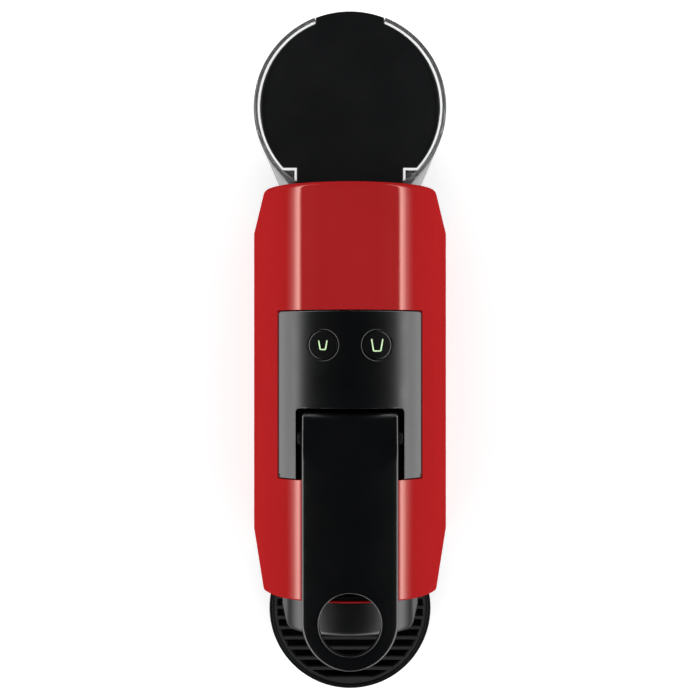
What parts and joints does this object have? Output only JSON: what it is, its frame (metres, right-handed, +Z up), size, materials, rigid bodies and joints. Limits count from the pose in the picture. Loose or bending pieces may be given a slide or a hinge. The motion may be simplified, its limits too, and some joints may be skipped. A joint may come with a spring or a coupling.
{
  "type": "pod coffee machine",
  "caption": "Slim pod coffee machine: arched shell, hinged lever with finger hole, press buttons, lift-off clear tank with lid, pull-out drip tray with capsule bin.",
  "frame": {"origin": "under the middle of the machine's whole box, on the surface it stands on", "axes": "+Z up, front (drip tray) at -Y, water tank at +Y, +X to the right seen from above with the tank at the top"},
  "size_m": [0.1108, 0.325, 0.205],
  "materials": {
    "red_gloss": "high gloss moulded red",
    "black_gloss": "piano black",
    "black_satin": "satin moulded black",
    "black_matte": "matte moulded black",
    "grey_plastic": "plain moulded grey",
    "white_plastic": "plain moulded off-white",
    "clear_plastic": "clear polished",
    "key_light": "backlit pale green",
    "board_green": "solder-masked circuit board",
    "steel": "fine brushed",
    "cast_alloy": "die cast",
    "rubber_black": "soft matte",
    "hose_silicone": "translucent silicone"
  },
  "bodies": {
    "chassis": {"outer_shell": "red_gloss", "base_plate": "black_matte", "feet": "rubber_black", "base_screws": "steel", "rear_panel": "black_matte", "cord_gland": "rubber_black", "bulkhead": "grey_plastic", "front_cover": "black_satin", "control_panel": "black_gloss", "control_board": "board_green", "tact_switches": "black_matte", "lever_pivot_pin": "steel", "frame_right": "black_matte", "frame_left": "black_matte", "brew_head": "white_plastic", "extraction_plate": "steel", "coffee_outlet": "black_matte", "capsule_port": "black_satin", "heater_bracket": "steel", "thermoblock": "cast_alloy", "thermostats": "steel", "pump_body": "steel", "lower_plunger_spring": "steel", "upper_plunger_spring": "steel", "pump_mounts": "rubber_black", "pump_bracket": "grey_plastic", "flow_meter": "white_plastic", "suction_hose": "hose_silicone", "feed_hose": "hose_silicone", "pressure_hose": "hose_silicone", "power_board": "board_green", "tank_seat": "black_matte", "seat_seal": "rubber_black"},
    "lever": {"lever_handle": "black_gloss", "crank_pin": "steel"},
    "links": {"link_right": "steel", "link_left": "steel", "link_pins": "steel"},
    "cage": {"brew_cage": "white_plastic", "cage_seal": "rubber_black", "piercing_needles": "steel"},
    "espresso_key": {"espresso_button": "black_gloss", "espresso_icon": "key_light"},
    "lungo_key": {"lungo_button": "black_gloss", "lungo_icon": "key_light"},
    "tank": {"tank_body": "clear_plastic", "tank_filter": "white_plastic", "valve_spring": "steel"},
    "valve": {"tank_valve": "white_plastic"},
    "lid": {"tank_lid": "black_satin", "lid_hinge_pin": "steel"},
    "drawer": {"drip_tray": "black_satin"},
    "container": {"capsule_container": "black_satin"},
    "grid": {"drip_grid": "black_satin"},
    "plunger": {"pump_plunger": "steel"},
    "rotor": {"flow_rotor": "white_plastic"}
  },
  "joints": [
    {"name": "lever_hinge", "type": "hinge", "parent": "chassis", "child": "lever", "pos_m": [0, -0.0165, 0.1915], "axis": [-1, 0, 0], "range_deg": [0, 76]},
    {"name": "link_pivot", "type": "hinge", "parent": "lever", "child": "links", "pos_m": [0, -0.02869, 0.19107], "axis": [1, 0, 0], "range_deg": [0, 104.6]},
    {"name": "cage_slide", "type": "slide", "parent": "chassis", "child": "cage", "axis": [0, 1, 0], "range_m": [0, 0.0303]},
    {"name": "espresso_press", "type": "slide", "parent": "chassis", "child": "espresso_key", "axis": [0, 0, -1], "range_m": [0, 0.0012], "stiffness_N_per_m": 400},
    {"name": "lungo_press", "type": "slide", "parent": "chassis", "child": "lungo_key", "axis": [0, 0, -1], "range_m": [0, 0.0012], "stiffness_N_per_m": 400},
    {"name": "tank_lift", "type": "slide", "parent": "chassis", "child": "tank", "axis": [0, 0, 1], "range_m": [0, 0.06]},
    {"name": "lid_hinge", "type": "hinge", "parent": "tank", "child": "lid", "pos_m": [0, 0.0936, 0.1826], "axis": [1, 0, 0], "range_deg": [0, 90]},
    {"name": "valve_lift", "type": "slide", "parent": "tank", "child": "valve", "axis": [0, 0, 1], "range_m": [0, 0.0022], "stiffness_N_per_m": 150, "deforming": ["valve_spring"]},
    {"name": "drawer_slide", "type": "slide", "parent": "chassis", "child": "drawer", "axis": [0, -1, 0], "range_m": [0, 0.085]},
    {"name": "container_lift", "type": "slide", "parent": "drawer", "child": "container", "axis": [0, 0, 1], "range_m": [0, 0.01]},
    {"name": "grid_lift", "type": "slide", "parent": "drawer", "child": "grid", "axis": [0, 0, 1], "range_m": [0, 0.02]},
    {"name": "plunger_stroke", "type": "slide", "parent": "chassis", "child": "plunger", "axis": [0, 0, 1], "range_m": [-0.0025, 0.0025], "stiffness_N_per_m": 2000, "deforming": ["lower_plunger_spring", "upper_plunger_spring"]},
    {"name": "rotor_spin", "type": "hinge", "parent": "chassis", "child": "rotor", "pos_m": [-0.024, 0.045, 0.0127], "axis": [0, 0, 1], "continuous": true}
  ],
  "couplings": [
    {"joint": "link_pivot", "follows": "lever_hinge", "ratio": 1.3753},
    {"joint": "cage_slide", "follows": "lever_hinge", "m_per_rad": 0.02281}
  ]
}
